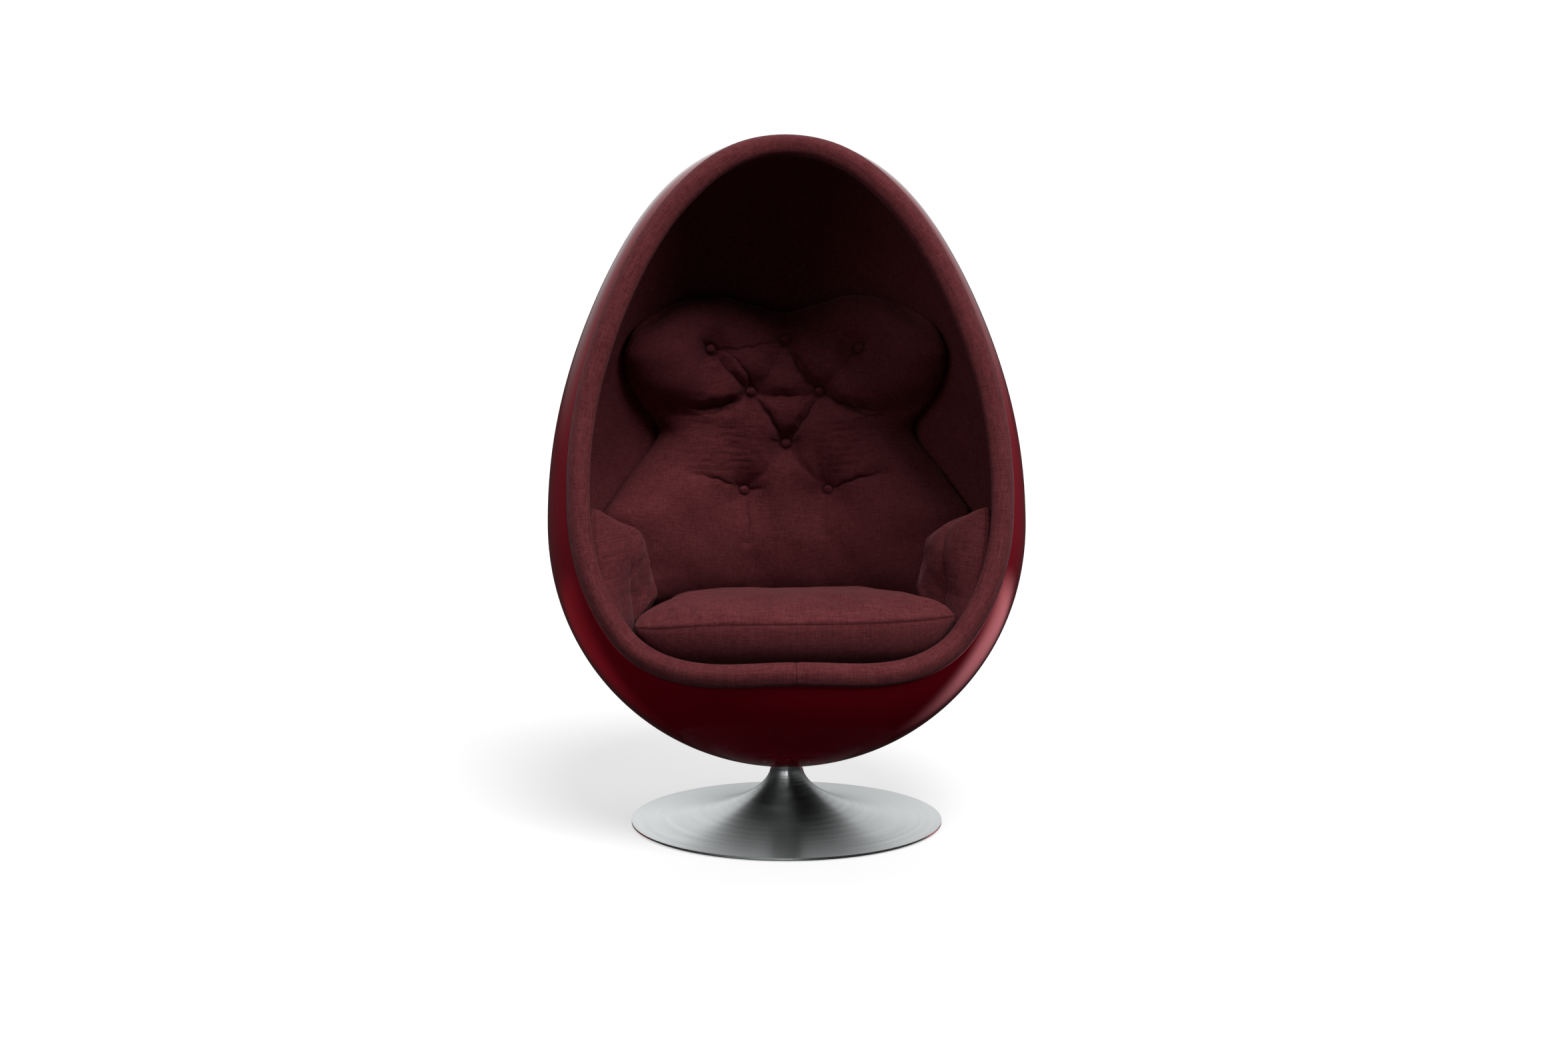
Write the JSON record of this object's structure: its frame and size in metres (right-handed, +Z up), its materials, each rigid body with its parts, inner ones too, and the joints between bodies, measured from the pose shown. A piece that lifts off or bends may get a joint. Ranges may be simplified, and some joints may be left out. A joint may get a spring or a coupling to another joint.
{
  "type": "pod chair",
  "caption": "Upholstered egg-shaped lounge chair with a glossy shell, a padded lining and tufted cushions, swivelling on a trumpet pedestal.",
  "frame": {"origin": "centre of the flat underside of the floor pad, on the swivel axis", "axes": "+Z up along the swivel axis, -Y towards the chair's open front, X across the chair"},
  "size_m": [0.896, 0.8641, 1.3026],
  "materials": {
    "rubber": "matt black rubber",
    "black_steel": "black primed steel",
    "satin_aluminium": "satin brushed, spun",
    "nylon": "natural nylon",
    "zinc_steel": "zinc plated",
    "bronze": "plain bearing bronze",
    "bright_steel": "bright turned steel",
    "shell_gloss": "deep wine red gel coat, high gloss",
    "cloth": "dusty burgundy woven upholstery cloth",
    "foam": "dark grey moulded foam"
  },
  "bodies": {
    "base": {"floor_pad": "rubber", "ballast_plate": "black_steel", "ballast_weight": "black_steel", "base_cover": "satin_aluminium", "neck_spacer": "nylon", "column_tube": "black_steel", "column_screws": "zinc_steel", "lower_bush": "bronze", "upper_bush": "bronze", "thrust_race_lower": "bright_steel", "bearing_balls": "bright_steel", "ball_cage": "bronze"},
    "pod": {"thrust_race_upper": "bright_steel", "swivel_hub": "bright_steel", "retaining_washer": "zinc_steel", "retaining_clip": "black_steel", "outer_shell": "shell_gloss", "clamp_plate": "zinc_steel", "pod_washers": "zinc_steel", "pod_bolts": "zinc_steel", "lining": "cloth", "rim_roll": "cloth", "seat_base": "foam", "seat_cushion": "cloth", "back_cushion": "cloth", "arm_cushion_left": "cloth", "arm_cushion_right": "cloth", "back_buttons": "cloth", "arm_buttons": "cloth"}
  },
  "joints": [
    {"name": "swivel", "type": "hinge", "parent": "base", "child": "pod", "pos_m": [0, 0, 0.1053], "axis": [0, 0, 1], "continuous": true}
  ]
}
